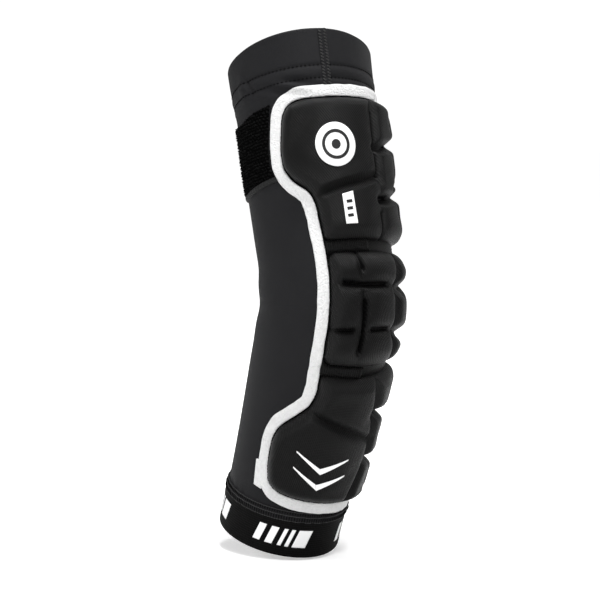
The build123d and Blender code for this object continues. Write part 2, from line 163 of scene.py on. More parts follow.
def smooth_loop(points, step=1.0, blur=2.8):
    """Closed outline resampled evenly in unrolled millimetres, with its corners rounded."""
    p = unrolled(points)
    p = np.vstack([p, p[:1]])
    lengths = np.r_[0, np.cumsum(np.hypot(*np.diff(p, axis=0).T))]
    count = int(lengths[-1] / step)
    s = np.linspace(0, lengths[-1], count, endpoint=False)
    q = np.stack([np.interp(s, lengths, p[:, i]) for i in (0, 1)], 1)
    k = np.fft.fftfreq(count, lengths[-1] / count)
    soft = np.exp(-2 * (np.pi * blur * k) ** 2)
    return np.stack([np.fft.ifft(np.fft.fft(q[:, i]) * soft).real for i in (0, 1)], 1)


LOOP = smooth_loop(OUTLINE)


def segment_distance(u, v, points, closed=False):
    """Distance from each point to a polyline in unrolled millimetres."""
    best = np.full(u.shape, 1e9)
    ends = np.roll(points, -1, axis=0) if closed else points[1:]
    for a, b in zip(points if closed else points[:-1], ends):
        d = b - a
        s = np.clip(((u - a[0]) * d[0] + (v - a[1]) * d[1]) / max(d @ d, 1e-9), 0, 1)
        best = np.minimum(best, np.hypot(u - a[0] - s * d[0], v - a[1] - s * d[1]))
    return best


def inside_loop(u, v):
    """True inside the pad outline, by counting crossings."""
    hit = np.zeros(u.shape, bool)
    for a, b in zip(LOOP, np.roll(LOOP, -1, axis=0)):
        if a[1] != b[1]:
            edge = (b[0] - a[0]) * (v - a[1]) / (b[1] - a[1]) + a[0]
            hit ^= ((a[1] > v) != (b[1] > v)) & (u < edge)
    return hit


def rounded_min(a, b, r):
    """Smaller of two distances, rounding the corner where both are small."""
    corner = r - np.hypot(np.clip(r - a, 0, None), np.clip(r - b, 0, None))
    return np.where((a < r) & (b < r), corner, np.minimum(a, b))


def pillow(d, width):
    """0 at a sewn edge, rising to 1 at a width from it: partly round, partly a bevel."""
    x = 1 - np.clip(d / width, 0, 1)
    return 0.6 * np.sqrt(1 - x ** 2) + 0.4 * (1 - x ** 1.5)


def soft_min(a, b, k):
    """Smaller of two heights, blended where they differ by less than k."""
    h = np.clip(0.5 + 0.5 * (b - a) / k, 0, 1)
    return b * (1 - h) + a * h - k * h * (1 - h)


def line_distance(u, v, lines):
    """Distance to each line, with its drop."""
    return [(segment_distance(u, v, unrolled(points)), drop) for points, drop in lines]


def pad_depth(u, v):
    """Distance inwards from the nearest sewn edge of a pad, negative outside."""
    edge = segment_distance(u, v, LOOP[::2], closed=True)
    edge = np.where(inside_loop(u, v), edge, -edge)
    away = np.abs(np.abs(v) - ELBOW_HALF) - FLEX_GAP
    return rounded_min(edge, away, 5.0)


def cut_level(u, v, depth):
    """Height of the foam pillows above the sleeve."""
    away = np.abs(np.abs(v) - ELBOW_HALF) - FLEX_GAP
    at_flex = FLEX_LEVEL + (PAD - FLEX_LEVEL) * pillow(away, FLEX_EDGE)
    level = soft_min(PAD * pillow(depth, PAD_EDGE), at_flex, 1.0)
    level = level + DOME * (1 - np.exp(-np.clip(depth, 0, None) / 14))
    top = PAD + DOME
    for d, drop in line_distance(u, v, VALLEYS):
        rise = 0.5 * pillow(d, 6.5 + 0.6 * drop) + 0.5 * (1 - hump(d, 0, 4.0))
        level = soft_min(level, top - SINK * drop * (1 - rise), 1.6)
    for d, drop in line_distance(u, v, SLITS):
        level = soft_min(level, top - SINK * drop * (1 - pillow(d, 6.0)), 1.2)
        level = level - 2.0 * hump(d, 0, 0.95) - 0.9 * hump(d, 0, 4.5)
    return level


CLOTH = {}  # change in level that each pad gets from its cloth pass


def pad_level(angle, along):
    """Height of the pads above the sleeve, negative outside them."""
    u, v = flat(angle, along)
    depth = pad_depth(u, v)
    level = cut_level(u, v, depth)
    for (first, last), (angles, places, change) in CLOTH.items():
        share = [np.clip(np.interp(x, axis, np.arange(len(axis))), 0, len(axis) - 1.001)
                 for x, axis in ((angle, angles), (along, places))]
        i, j = (x.astype(int) for x in share)
        a, b = share[0] - i, share[1] - j
        soft = (1 - a) * (1 - b) * change[i, j] + a * (1 - b) * change[i + 1, j]
        soft = soft + (1 - a) * b * change[i, j + 1] + a * b * change[i + 1, j + 1]
        level = level + np.where((along > first) & (along < last), soft, 0)
    return np.where(depth > 0, np.maximum(level, 0.1), np.maximum(depth * 2.0, -1.2))


def centreline_x(z):
    """X of the sleeve's centreline at a height, in metres."""
    bend = np.clip(np.arcsin(np.clip(z * 1000 / RC, -1, 1)), -LEAN, LEAN)
    rest = np.abs(z) * 1000 - RC * math.sin(LEAN)
    return (RC * (np.cos(bend) - 1) - np.clip(rest, 0, None) * math.tan(LEAN)) / 1000


def face_outwards(mesh):
    """Flips every face of a sheet or tube that was wound inwards."""
    count = len(mesh.polygons)
    normal, centre, area = np.zeros(count * 3), np.zeros(count * 3), np.zeros(count)
    mesh.polygons.foreach_get("normal", normal)
    mesh.polygons.foreach_get("center", centre)
    mesh.polygons.foreach_get("area", area)
    normal, centre = normal.reshape(-1, 3), centre.reshape(-1, 3)
    out = (centre[:, 0] - centreline_x(centre[:, 2])) * normal[:, 0] + centre[:, 1] * normal[:, 1]
    if (out * area).sum() < 0:
        mesh.flip_normals()


def mesh_object(name, points, faces, material=None, uv=None, period=None):
    """Smooth mesh with its fabric coordinates; period closes them where a tube meets itself."""
    mesh = bpy.data.meshes.new(name)
    mesh.from_pydata(np.asarray(points).reshape(-1, 3).tolist(), [], faces)
    if uv is not None:
        layer = mesh.uv_layers.new(name="unrolled")
        loops = np.zeros(len(mesh.loops), int)
        mesh.loops.foreach_get("vertex_index", loops)
        corners = uv.reshape(-1, 2)[loops].astype(np.float32)
        if period:
            quads = corners.reshape(-1, 4, 2)
            across = quads[:, :, 0].max(1, keepdims=True) - quads[:, :, 0] > period / 2
            quads[:, :, 0] += np.where(across, period, 0)
        layer.data.foreach_set("uv", corners.ravel())
    face_outwards(mesh)
    mesh.polygons.foreach_set("use_smooth", [True] * len(mesh.polygons))
    if material:
        mesh.materials.append(material)
    obj = bpy.data.objects.new(name, mesh)
    bpy.context.scene.collection.objects.link(obj)
    return obj


def grid_faces(rows, columns, keep=None, wrap_rows=False):
    """Quads of a grid of vertices; keep masks them and wrap_rows closes the grid on itself."""
    i = np.arange(rows if wrap_rows else rows - 1)[:, None]
    i, j = np.broadcast_arrays(i, np.arange(columns - 1)[None, :])
    here, beside = i * columns + j, (i + 1) % rows * columns + j
    quads = np.stack([here, beside, beside + 1, here + 1], -1).reshape(-1, 4)
    if keep is not None:
        quads = quads[keep.ravel()[quads].all(1)]
    return quads.tolist()


def drop_loose(mesh):
    """Removes vertices that no face uses."""
    work = bmesh.new()
    work.from_mesh(mesh)
    loose = [vertex for vertex in work.verts if not vertex.link_faces]
    bmesh.ops.delete(work, geom=loose, context="VERTS")
    work.to_mesh(mesh)
    work.free()


# Materials

def node_material(name):
    """A new material with its node tree and its shader."""
    material = bpy.data.materials.new(name)
    material.use_nodes = True
    return material, material.node_tree, material.node_tree.nodes["Principled BSDF"]


def link(tree, source, target):
    tree.links.new(source, target)


def set_inputs(node, values):
    for name, value in values.items():
        node.inputs[name].default_value = value


def math_node(tree, operation, a, b=None):
    """Output of a math node; a and b are numbers or sockets."""
    node = tree.nodes.new("ShaderNodeMath")
    node.operation = operation
    for socket, value in zip(node.inputs, (a, b)):
        if value is None:
            continue
        if isinstance(value, (int, float)):
            socket.default_value = value
        else:
            link(tree, value, socket)
    return node.outputs[0]


def times(tree, a, b):
    return math_node(tree, "MULTIPLY", a, b)


def plus(tree, a, b):
    return math_node(tree, "ADD", a, b)


def unrolled_axes(tree):
    """Millimetres round the arm and along it, from the mesh's fabric coordinates."""
    node = tree.nodes.new("ShaderNodeUVMap")
    node.uv_map = "unrolled"
    split = tree.nodes.new("ShaderNodeSeparateXYZ")
    link(tree, node.outputs[0], split.inputs[0])
    return split.outputs[0], split.outputs[1]


def wave(tree, axis, pitch):
    return math_node(tree, "SINE", times(tree, axis, 2 * math.pi / pitch))


def object_noise(tree, scale, detail=3.0):
    """Noise from 0 to 1 that moves with the piece, scale cells in a metre."""
    coords = tree.nodes.new("ShaderNodeTexCoord")
    node = tree.nodes.new("ShaderNodeTexNoise")
    set_inputs(node, {"Scale": scale, "Detail": detail})
    link(tree, coords.outputs["Object"], node.inputs["Vector"])
    return node.outputs["Fac"]


def ramp_color(tree, factor, dark, light):
    """Colour between dark and light."""
    node = tree.nodes.new("ShaderNodeMix")
    node.data_type = "RGBA"
    link(tree, factor, node.inputs["Factor"])
    set_inputs(node, {"A": (*dark, 1), "B": (*light, 1)})
    return node.outputs["Result"]


def bump(tree, shader, height, distance):
    """Relief of a height in a material, distance metres deep."""
    node = tree.nodes.new("ShaderNodeBump")
    set_inputs(node, {"Distance": distance, "Strength": 1.0})
    link(tree, height, node.inputs["Height"])
    link(tree, node.outputs[0], shader.inputs["Normal"])


def cloth_material(name, dark, light, weave, rough=0.8, sheen=0.05, grain=0.0001, mottling=60.0, shine=0.2):
    """Fabric whose weave, made by weave(tree, u, v), shows in its colour and its relief. Grain is the
    relief's depth in metres, mottling the scale of its uneven dye and shine its specular level."""
    material, tree, shader = node_material(name)
    height = weave(tree, *unrolled_axes(tree))
    thread = times(tree, plus(tree, height, 1.0), 0.22)
    factor = plus(tree, thread, times(tree, object_noise(tree, mottling), 0.4))
    link(tree, ramp_color(tree, factor, dark, light), shader.inputs["Base Color"])
    set_inputs(shader, {"Roughness": rough, "Sheen Weight": sheen, "Sheen Roughness": 0.4})
    set_inputs(shader, {"Specular IOR Level": shine})
    bump(tree, shader, height, grain)
    return material


def paint_bevel_highlight(material, share):
    """Painted highlight: the fabric's colour made paler over the pads' bevelled edges, where light catches
    them.
    """
    tree = material.node_tree
    mix = next(node for node in tree.nodes if node.type == "MIX")
    factor = mix.inputs["Factor"].links[0].from_socket
    bevel_highlight = tree.nodes.new("ShaderNodeAttribute")
    bevel_highlight.attribute_name = "bevel"
    extra = times(tree, bevel_highlight.outputs["Fac"], share)
    link(tree, plus(tree, factor, extra), mix.inputs["Factor"])


def knit(pitch_u, pitch_v):
    """Rows of offset stitches."""
    def weave(tree, u, v):
        slant = times(tree, v, pitch_u / pitch_v / 2)
        column = wave(tree, plus(tree, u, slant), pitch_u)
        return times(tree, wave(tree, v, pitch_v), column)
    return weave


def ribs(pitch_u, pitch_v):
    """Woven elastic: ribs along the arm crossed by finer weft."""
    def weave(tree, u, v):
        rib = times(tree, wave(tree, u, pitch_u), 0.5)
        return plus(tree, rib, wave(tree, v, pitch_v))
    return weave


def grainy(scale):
    """Fibres or a moulded surface without rows."""
    def weave(tree, u, v):
        return object_noise(tree, scale, 6.0)
    return weave


def curl_painted_shading(tree, u, v):
    """Uneven rows of curls, in step with the strap's own relief, that also go into the colour as painted
    shade, darker in the gaps, and a painted highlight on the curls.
    """
    sway = times(tree, math_node(tree, "SUBTRACT", object_noise(tree, 260.0), 0.5), 3.2)
    u, v = plus(tree, u, sway), plus(tree, v, sway)
    odd = math_node(tree, "MODULO", math_node(tree, "FLOOR", math_node(tree, "DIVIDE", v, CURL)), 2.0)
    column = times(tree, u, math.pi / (1.3 * CURL))
    offset = times(tree, odd, math.pi / 2)
    column = math_node(tree, "SINE", plus(tree, column, offset))
    bead = times(tree, column, wave(tree, v, 2 * CURL))
    bead = times(tree, bead, bead)
    return plus(tree, times(tree, bead, 3.2), -1.6)


def grey(level, tint=0.0):
    return (level, level, level + tint)


SLEEVE = cloth_material("sleeve_knit", grey(0.0063, 0.001), grey(0.013, 0.001), knit(0.8, 0.8),
                        rough=0.6, sheen=0.02, grain=0.00006, shine=0.09)
PADDING = cloth_material("pad_knit", grey(0.0005), grey(0.0055), knit(1.3, 1.2),
                         rough=0.39, sheen=0.0, grain=0.00013, shine=0.09)
# The pads' bevelled edges get a painted highlight in their colour.
paint_bevel_highlight(PADDING, 0.9)
WHITE = cloth_material("tape_white", grey(0.42), grey(0.82), grainy(800),
                       sheen=0.03, grain=0.0012, mottling=500.0)
PRINT = cloth_material("print_white", grey(0.76), grey(0.82), grainy(1500),
                       rough=0.45, sheen=0.0, grain=0.00003)
INK = cloth_material("print_dark", grey(0.012), grey(0.018), grainy(1500),
                     rough=0.5, sheen=0.0, grain=0.00003)
# The loop pile's colour has painted shade between its curls and a painted highlight on them.
PILE = cloth_material("loop_pile", grey(0.0002), grey(0.009), curl_painted_shading,
                      sheen=0.0, grain=0.0002, mottling=900.0, shine=0.02)
WEBBING = cloth_material("webbing", grey(0.008), grey(0.015), ribs(1.1, 0.8),
                         rough=0.6, sheen=0.02, shine=0.12)
HOOKS = cloth_material("hooks", grey(0.012), grey(0.03), knit(1.6, 1.6),
                       rough=0.4, sheen=0.0, grain=0.0005, mottling=200.0, shine=0.4)
ELASTIC = cloth_material("elastic", grey(0.001), grey(0.0035), ribs(1.2, 0.8),
                         rough=0.6, sheen=0.0, mottling=200.0, shine=0.05)
THREAD = cloth_material("thread", grey(0.02), grey(0.036), grainy(2500), rough=0.5, sheen=0.03)
BLACK_THREAD = cloth_material("black_thread", grey(0.001), grey(0.002), grainy(2500),
                              rough=0.7, sheen=0.0, shine=0.05)
SILICONE = cloth_material("silicone", grey(0.02), grey(0.03), grainy(700),
                          rough=0.3, sheen=0.0, grain=0.00005, shine=0.5)
LABEL = cloth_material("label", grey(0.6), grey(0.7), ribs(0.5, 0.5), rough=0.6, sheen=0.1, grain=0.00005)


def bend_upper(obj):
    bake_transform(obj)


def bend_lower(obj):
    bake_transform(obj)


def ride_upper(obj):
    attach(obj, "upper_arm")


def ride_forearm(obj):
    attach(obj, "forearm")


def ride_tab(obj):
    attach(obj, "strap_tab")


def finish_piece(obj, slot_name, ride, *nodes):
    """Hides the CAD nodes that a piece stands for and hands the piece to ride; slot_name is not used."""
    if nodes:
        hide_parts(*nodes)
    ride(obj)


def rim_height(angle):
    return RIM_TOP - RIM_DROP / 2 * (1 - np.cos(np.radians(angle - RIM_FACING)))


def row_height(row, angle):
    """Height of a stitch row round the cuff, which dips away from the front as the rim does."""
    return row - STITCH_DROP / 2 * (1 - np.cos(np.radians(angle - RIM_FACING)))


def folds(angle, along):
    """Wrinkles of the sleeve, as a change in its level."""
    turn = np.radians(angle)
    inside = 0.5 * (1 - np.cos(turn))  # 0 at the elbow tip and 1 in the crook of the arm
    crease = 1.1 * inside ** 2 * hump(along, 0, 26) * np.sin(along / 6.0 + 0.8 * np.sin(2 * turn))
    slow = 0.5 * inside * np.sin(along / 31 + 2 * turn) * np.sin(3 * turn + along / 60)
    loose = 1 / (1 + np.exp(-(along - 136) / 6))  # 1 in the top cuff
    flare = 1.8 * loose * (0.5 + 0.5 * np.cos(turn - 2.4)) + 0.5 * loose * np.sin(3 * turn + 0.7)
    corner = hump(along, 134, 4.5) * hump(angle, 46, 20)  # above the tape's upper corner
    pucker = 1.9 * corner * np.sin((along - 0.3 * angle) / 1.7)
    pinch = hump(angle, 84 + 0.5 * (along - 140), 3.0) - hump(angle, 92, 6.0)
    pucker = pucker - 1.5 * pinch * hump(along, 141, 8)
    gather = 0.3 * hump(along, -136, 7) * np.sin(34 * turn) * (0.6 + 0.4 * np.sin(5 * turn))
    return crease + slow + flare + pucker + gather


def hem_relief(angle, along):
    """Grooves that the two stitch rows pull into the hem, with the doubled cloth rounding up between."""
    low, high = (row_height(row, angle) for row in STITCH_ROWS)
    relief = 0.45 * hump(along, (low + high) / 2, 2.6) + 0.3 * hump(along, low - 3.2, 2.0)
    return relief - 0.5 * hump(along, low, 1.3) - 0.5 * hump(along, high, 1.3)


def fabric_tube(name, low, high, rows, columns):
    """Knitted tube between two places, or up to the rim if high is None, with a round upper edge."""
    angle = np.linspace(0, 360, columns, endpoint=False)[:, None]
    share = np.linspace(0, 1, rows)[None, :]
    top = rim_height(angle) if high is None else np.full_like(angle, high)
    along = low + (top - low) * share
    shape = folds(angle, along)
    double = 1.3 / (1 + np.exp(-(along - row_height(STITCH_ROWS[0] - 2, angle)) / 0.5))
    outer = surface(angle, along, shape + hem_relief(angle, along))
    inner = surface(angle, along, shape - KNIT - double)
    middle = surface(angle, along[:, -1:] + 1.2, shape[:, -1:] - (KNIT + double[:, -1:]) / 2)
    points = np.concatenate([outer, middle, inner[:, ::-1]], 1)
    v = np.concatenate([along, along[:, -1:] + 1, along[:, ::-1]], 1)
    u = np.broadcast_to(np.radians(angle) * R_KNIT, v.shape)
    faces = grid_faces(columns, points.shape[1], wrap_rows=True)
    return mesh_object(name, points, faces, SLEEVE, np.stack([u, v], -1), 2 * math.pi * R_KNIT)


def make_sleeve():
    """Sleeve in two tubes that meet at the elbow's centre."""
    upper = fabric_tube("sleeve_upper_fabric", 0.0, None, 330, 360)
    nodes = ("sleeve_upper", "sleeve_elbow", "flex_zone_upper", "top_cuff_hem")
    finish_piece(upper, "sleeve_knit", bend_upper, *nodes)
    lower = fabric_tube("sleeve_forearm_fabric", BAND_TOP + 0.4, 0.0, 240, 420)
    finish_piece(lower, "sleeve_knit", bend_lower, "sleeve_forearm", "flex_zone_lower")


def settle_pad(low, high, medial=-68.0, lateral=66.0, step=2.2):
    """Cloth pass over a coarse copy of one pad: a cover a little too large for its sewn lines is
    blown up by pressure, so it puckers beside them. Keeps the change in level for pad_level."""
    angles = np.linspace(medial, lateral, int(math.radians(lateral - medial) * R_PAD / step))
    places = np.linspace(low, high, int((high - low) / step))
    angle, along = np.meshgrid(angles, places, indexing="ij")
    u, v = flat(angle, along)
    depth = pad_depth(u, v)
    level = np.maximum(cut_level(u, v, depth), 0.1)
    keep = depth > -1.0
    obj = mesh_object("cloth_copy", surface(angle, along, level), grid_faces(*angle.shape, keep))
    sewn = depth < 2.0
    for d, _ in line_distance(u, v, SLITS):
        sewn |= d < 1.4
    group = obj.vertex_groups.new(name="sewn")
    group.add(np.where(sewn.ravel())[0].tolist(), 1.0, "REPLACE")
    cloth = obj.modifiers.new("cloth", "CLOTH")
    cloth.settings.quality = 6
    cloth.settings.mass = 0.2
    cloth.settings.vertex_group_mass = "sewn"
    cloth.settings.use_pressure = True
    cloth.settings.uniform_pressure_force = CLOTH_PRESSURE
    cloth.settings.shrink_min = -CLOTH_SLACK
    cloth.settings.effector_weights.gravity = 0.0
    cloth.point_cache.frame_start, cloth.point_cache.frame_end = 1, CLOTH_FRAMES
    scene = bpy.context.scene
    for frame_number in range(1, CLOTH_FRAMES + 1):
        scene.frame_set(frame_number)
    evaluated = obj.evaluated_get(bpy.context.evaluated_depsgraph_get())
    after = np.zeros(angle.size * 3)
    evaluated.data.vertices.foreach_get("co", after)
    before = surface(angle, along, level)
    normal = surface(angle, along, level + 1) - before
    change = ((after.reshape(before.shape) - before) * normal).sum(-1) * 1e6
    change = np.where(keep, np.clip(change, CLOTH_LOWEST, CLOTH_HIGHEST), 0)
    for axis in (0, 1, 0, 1):
        change = (np.roll(change, 1, axis) + 2 * change + np.roll(change, -1, axis)) / 4
    CLOTH[(low, high)] = (angles, places, CLOTH_KEPT * change)
    scene.frame_set(1)
    bpy.data.objects.remove(obj)


def make_pad(name, low, high, medial, lateral, nodes, bend, step=0.5):
    """Fine mesh of one pad between two places along the arm."""
    rows = int(math.radians(lateral - medial) * R_PAD / step)
    columns = int((high - low) / step)
    angle = np.linspace(medial, lateral, rows)[:, None]
    along = np.linspace(low, high, columns)[None, :]
    angle, along = np.broadcast_arrays(angle, along)
    level = pad_level(angle, along)
    keep = level > -1.15
    u, v = flat(angle, along)
    faces = grid_faces(rows, columns, keep)
    obj = mesh_object(name, surface(angle, along, level), faces, PADDING, np.stack([u, v], -1))
    # Mask of the pads' bevelled edges, where their colour gets a painted highlight.
    bevel = hump(pad_depth(u, v), 4.0, 2.6)
    attribute = obj.data.attributes.new("bevel", "FLOAT", "POINT")
    attribute.data.foreach_set("value", bevel.ravel().astype(np.float32))
    drop_loose(obj.data)
    finish_piece(obj, "pad_knit", bend, *nodes)


def make_pads():
    for low, high in ((ELBOW_HALF, 127.0), (-ELBOW_HALF, ELBOW_HALF), (-128.0, -ELBOW_HALF)):
        settle_pad(low, high)
    for section, low, high, bend in (("upper", 30, 129, bend_upper), ("forearm", -128, -30, bend_lower)):
        nodes = [f"{section}_pad_{part}" for part in ("cover", "foam", "backing")]
        make_pad(f"{section}_pad_quilt", low, high, -68, 66, nodes, bend)
    nodes = ["elbow_pad_cover", "elbow_pad_foam", "elbow_pad_backing"]
    make_pad("elbow_pad_quilt_top", 0, 29, -68, 42, nodes, bend_upper)
    make_pad("elbow_pad_quilt_bottom", -29, 0, -68, 42, nodes, bend_lower)


def edge_stitches_and_shadow(normal, side):
    """Black oversewing along the tape's inner edge, on one side of the elbow's centre; it is partly painted
    shade, a dark line standing in for the shadow in the gap between the pads and the tape.
    """
    stitches = []
    for index in range(0, len(LOOP) - 2, 2):
        ends = []
        for place in (index, index + 2):
            u, v = LOOP[place] + normal[place] * (0.3 + NOISE.normal(0, 0.12))
            ends.append((math.degrees(u / R_UNROLLED), v, 0.95))
        if min(end[1] * side for end in ends) > 0:
            stitches.append(ends)
    return stitches


def make_tape():
    """White tape round the pads, in an upper and a lower half."""
    tangent = np.roll(LOOP, -1, axis=0) - np.roll(LOOP, 1, axis=0)
    tangent /= np.hypot(*tangent.T)[:, None]
    normal = np.stack([tangent[:, 1], -tangent[:, 0]], 1)
    if np.sum(LOOP[:, 0] * np.roll(LOOP[:, 1], -1) - np.roll(LOOP[:, 0], -1) * LOOP[:, 1]) < 0:
        normal = -normal
    # The tape's section: its distance out from the pads' outline and its level.
    across = np.array([0.75, 0.75, 0.95, 1.5, 2.6, 4.3, 6.0, 7.4, 8.25, 8.6, 8.6])
    level = np.array([-0.3, 0.5, 0.95, 1.1, 1.1, 1.15, 1.1, 1.1, 0.95, 0.5, -0.3])
    count = len(LOOP)
    ripple = np.interp(np.arange(count), np.linspace(0, count, count // 4), NOISE.normal(0, 0.16, count // 4))
    edge = (across / 4.3 - 1)[None, :]
    offset = across[None, :] + ripple[:, None] * edge
    lift = level[None, :] + NOISE.normal(0, 0.05, (count, len(level))) * (level > 0.9)
    u = LOOP[:, :1] + normal[:, :1] * offset
    v = LOOP[:, 1:] + normal[:, 1:] * offset
    for name, side, bend, nodes in (
        ("edge_tape_upper", 1, bend_upper, ("tape_upper", "tape_elbow", "tape_bridge_upper")),
        ("edge_tape_lower", -1, bend_lower, ("tape_forearm", "tape_bridge_lower")),
    ):
        run = np.where(LOOP[:, 1] * side > 0)[0]
        breaks = np.where(np.diff(run) > 1)[0]
        if len(breaks):
            run = np.r_[run[breaks[0] + 1:], run[:breaks[0] + 1]]
        uu, vv, ll = u[run].copy(), v[run].copy(), lift[run].copy()
        vv[[0, -1]] = 0
        angle = np.degrees(uu / R_UNROLLED)
        points = surface(angle, vv, ll + folds(angle, vv))
        tape = mesh_object(name, points, grid_faces(len(run), len(across)), WHITE, np.stack([uu, vv], -1))
        # Black edge thread: real oversewing, and also painted shade for the shadow line at the tape's inner
        # edge.
        sewn = threads("edge_stitches_and_shadow", edge_stitches_and_shadow(normal, side), 0.42, BLACK_THREAD, 0.1)
        finish_piece(join(name, [tape, sewn]), "tape_white", bend, *nodes)


def sheet(name, angle, along, level, drop, material):
    """Thin piece over a grid of places, with all four edges turned down by a drop."""
    angle, along, level = np.broadcast_arrays(np.asarray(angle, float), along, level)
    rows, columns = angle.shape[0] + 2, angle.shape[1] + 2
    down = np.pad(level - drop, 1, mode="edge")
    down[1:-1, 1:-1] = level
    angle, along = np.pad(angle, 1, mode="edge"), np.pad(along, 1, mode="edge")
    uv = np.stack(flat(angle, along), -1)
    return mesh_object(name, surface(angle, along, down), grid_faces(rows, columns), material, uv)


def strip(name, start, end, low, high, rise, drop, material, step=1.0):
    """Sheet between two angles and two places along the arm, rise(angle, along) above the sleeve."""
    rows = int(math.radians(end - start) * R_TOP / step) + 2
    angle = np.linspace(start, end, rows)[:, None]
    along = np.linspace(low, high, int((high - low) / step) + 2)[None, :]
    return sheet(name, angle, along, rise(angle, along) + folds(angle, along), drop, material)


def disc(name, centre, inner, outer, rise, material, sides=96, rings=14):
    """Flat ring or disc lying on the pad."""
    theta = np.linspace(0, 2 * math.pi, sides, endpoint=False)[:, None]
    r = np.linspace(inner, outer, rings)[None, :]
    r = np.concatenate([r[:, :1], r, r[:, -1:]], 1)
    angle = centre[0] + np.degrees(r * np.cos(theta) / BADGE_REACH)
    along = centre[1] + BADGE_TALL * r * np.sin(theta)
    level = pad_level(angle, along) + rise
    level[:, 0] -= rise + 0.2
    level[:, -1] -= rise + 0.2
    faces = grid_faces(sides, rings + 2, wrap_rows=True)
    return mesh_object(name, surface(angle, along, level), faces, material, np.stack(flat(angle, along), -1))


def quad_patch(name, corners, rise, material, cells=16, base=pad_level):
    """Four-sided print; corners are (angle, along) in order."""
    a, b, c, d = (np.array(p, float) for p in corners)
    s = np.linspace(0, 1, cells)[:, None, None]
    t = np.linspace(0, 1, cells)[None, :, None]
    p = (1 - s) * (1 - t) * a + s * (1 - t) * b + s * t * c + (1 - s) * t * d
    return sheet(name, p[..., 0], p[..., 1], base(p[..., 0], p[..., 1]) + rise, rise + 0.2, material)


def threads(name, stitches, radius, material, arch=0.25, sides=6):
    """Sewing stitches as short curved strands; each is ((angle, along, level), the same for its end)."""
    ends = np.array(stitches, float)
    start, stop = surface(*ends[:, 0].T), surface(*ends[:, 1].T)
    out = surface(ends[:, 0, 0], ends[:, 0, 1], ends[:, 0, 2] + 1) - start
    out /= np.linalg.norm(out, axis=1)[:, None]
    side = np.cross(stop - start, out)
    side /= np.linalg.norm(side, axis=1)[:, None]
    share = np.array([0.0, 0.08, 0.3, 0.5, 0.7, 0.92, 1.0])
    thick = np.array([0.3, 0.8, 1.0, 1.0, 1.0, 0.8, 0.3]) * radius / 1000
    theta = np.linspace(0, 2 * math.pi, sides, endpoint=False)
    line = start[:, None] + (stop - start)[:, None] * share[None, :, None]
    line = line + out[:, None] * (arch / 1000 * np.sin(math.pi * share))[None, :, None]
    ring = np.cos(theta)[:, None] * out[:, None, None] + np.sin(theta)[:, None] * side[:, None, None]
    points = line[:, :, None] + thick[None, :, None, None] * ring
    strand = np.array(grid_faces(sides, len(share), wrap_rows=True))
    first = np.arange(len(ends)) * sides * len(share)
    faces = (first[:, None, None] + strand).reshape(-1, 4).tolist()
    return mesh_object(name, points.swapaxes(1, 2), faces, material, np.zeros((points.size // 3, 2)))


def join(name, objects):
    """One object made of several, keeping every material."""
    for other in bpy.context.selected_objects:
        other.select_set(False)
    for obj in objects:
        obj.select_set(True)
    bpy.context.view_layer.objects.active = objects[0]
    bpy.ops.object.join()
    objects[0].name = name
    objects[0].data.name = name
    return objects[0]


def make_prints():
    """Round badge, slanted side tag and the two chevrons, all plain marks."""
    badge = [disc("badge", BADGE, 0.02, 13.5, 0.55, PRINT)]
    badge.append(disc("badge_ring", BADGE, 7.2, 9.2, 0.75, INK))
    badge.append(disc("badge_dot", BADGE, 0.02, 3.0, 0.75, INK))
    finish_piece(join("round_badge", badge), "print_white", ride_upper, "badge_disc")
    tag = [quad_patch("tag", [(19, 60), (11.3, 61.7), (10, 41), (18.3, 41)], 0.5, PRINT)]
    for low in (45, 49.5, 54):
        corners = [(16.8, low + 2), (12.8, low + 2.4), (12.5, low + 0.4), (16.5, low)]
        tag.append(quad_patch("tag_bar", corners, 0.65, INK, 6))
    finish_piece(join("slanted_side_tag", tag), "print_white", bend_upper, "side_tag")
    marks = []
    for top in (0, -11.5):
        left = [(38, -84 + top), (18.5, -94.3 + top), (17.5, -98.3 + top), (38, -84.8 + top)]
        right = [(18.5, -94.3 + top), (-3, -87.3 + top), (-3, -88.1 + top), (17.5, -98.3 + top)]
        marks += [quad_patch("mark", left, 0.35, PRINT), quad_patch("mark", right, 0.35, PRINT)]
    finish_piece(join("chevron_marks", marks), "print_white", ride_forearm, "chevron_prints")


def make_seam_strips():
    """Gathered ribbed strips between the pads, on the two flex lines, oversewn along both edges."""
    half = FLEX_GAP + 0.9
    for name, place, node, bend in (
        ("ribbed_strip_upper", ELBOW_HALF, "seam_strip_upper", bend_upper),
        ("ribbed_strip_lower", -ELBOW_HALF, "seam_strip_lower", bend_lower),
    ):
        def rise(angle, along):
            round_top = 1 - (np.abs(along - place) / half) ** 4
            rib = np.abs(np.sin(np.radians(angle) * R_UNROLLED * math.pi / 1.5))
            sunk = 1 / (1 + np.exp((angle - STRIP_FOLD) / 0.7))
            fold = 0.9 * hump(angle, STRIP_FOLD + 2.2, 1.4)
            return 2.0 + (1.3 * np.clip(round_top, 0, 1) + 0.55 * rib) * (1 - sunk) + fold - 1.3 * sunk

        band = strip(name, -60.5, 33.5, place - half, place + half, rise, 2.0, PADDING, 0.3)
        stitches = []
        for angle in np.arange(STRIP_FOLD + 1, 33, 1.9):
            for side in (-1, 1):
                near, far = place + side * (half - 1.3), place + side * (half + 0.3)
                stitches.append([(angle, near, 3.9), (angle + 0.4, far, 3.3)])
        sewn = threads("strip_stitches", stitches, 0.3, BLACK_THREAD, 0.1)
        finish_piece(join(name, [band, sewn]), "pad_knit", bend, node)


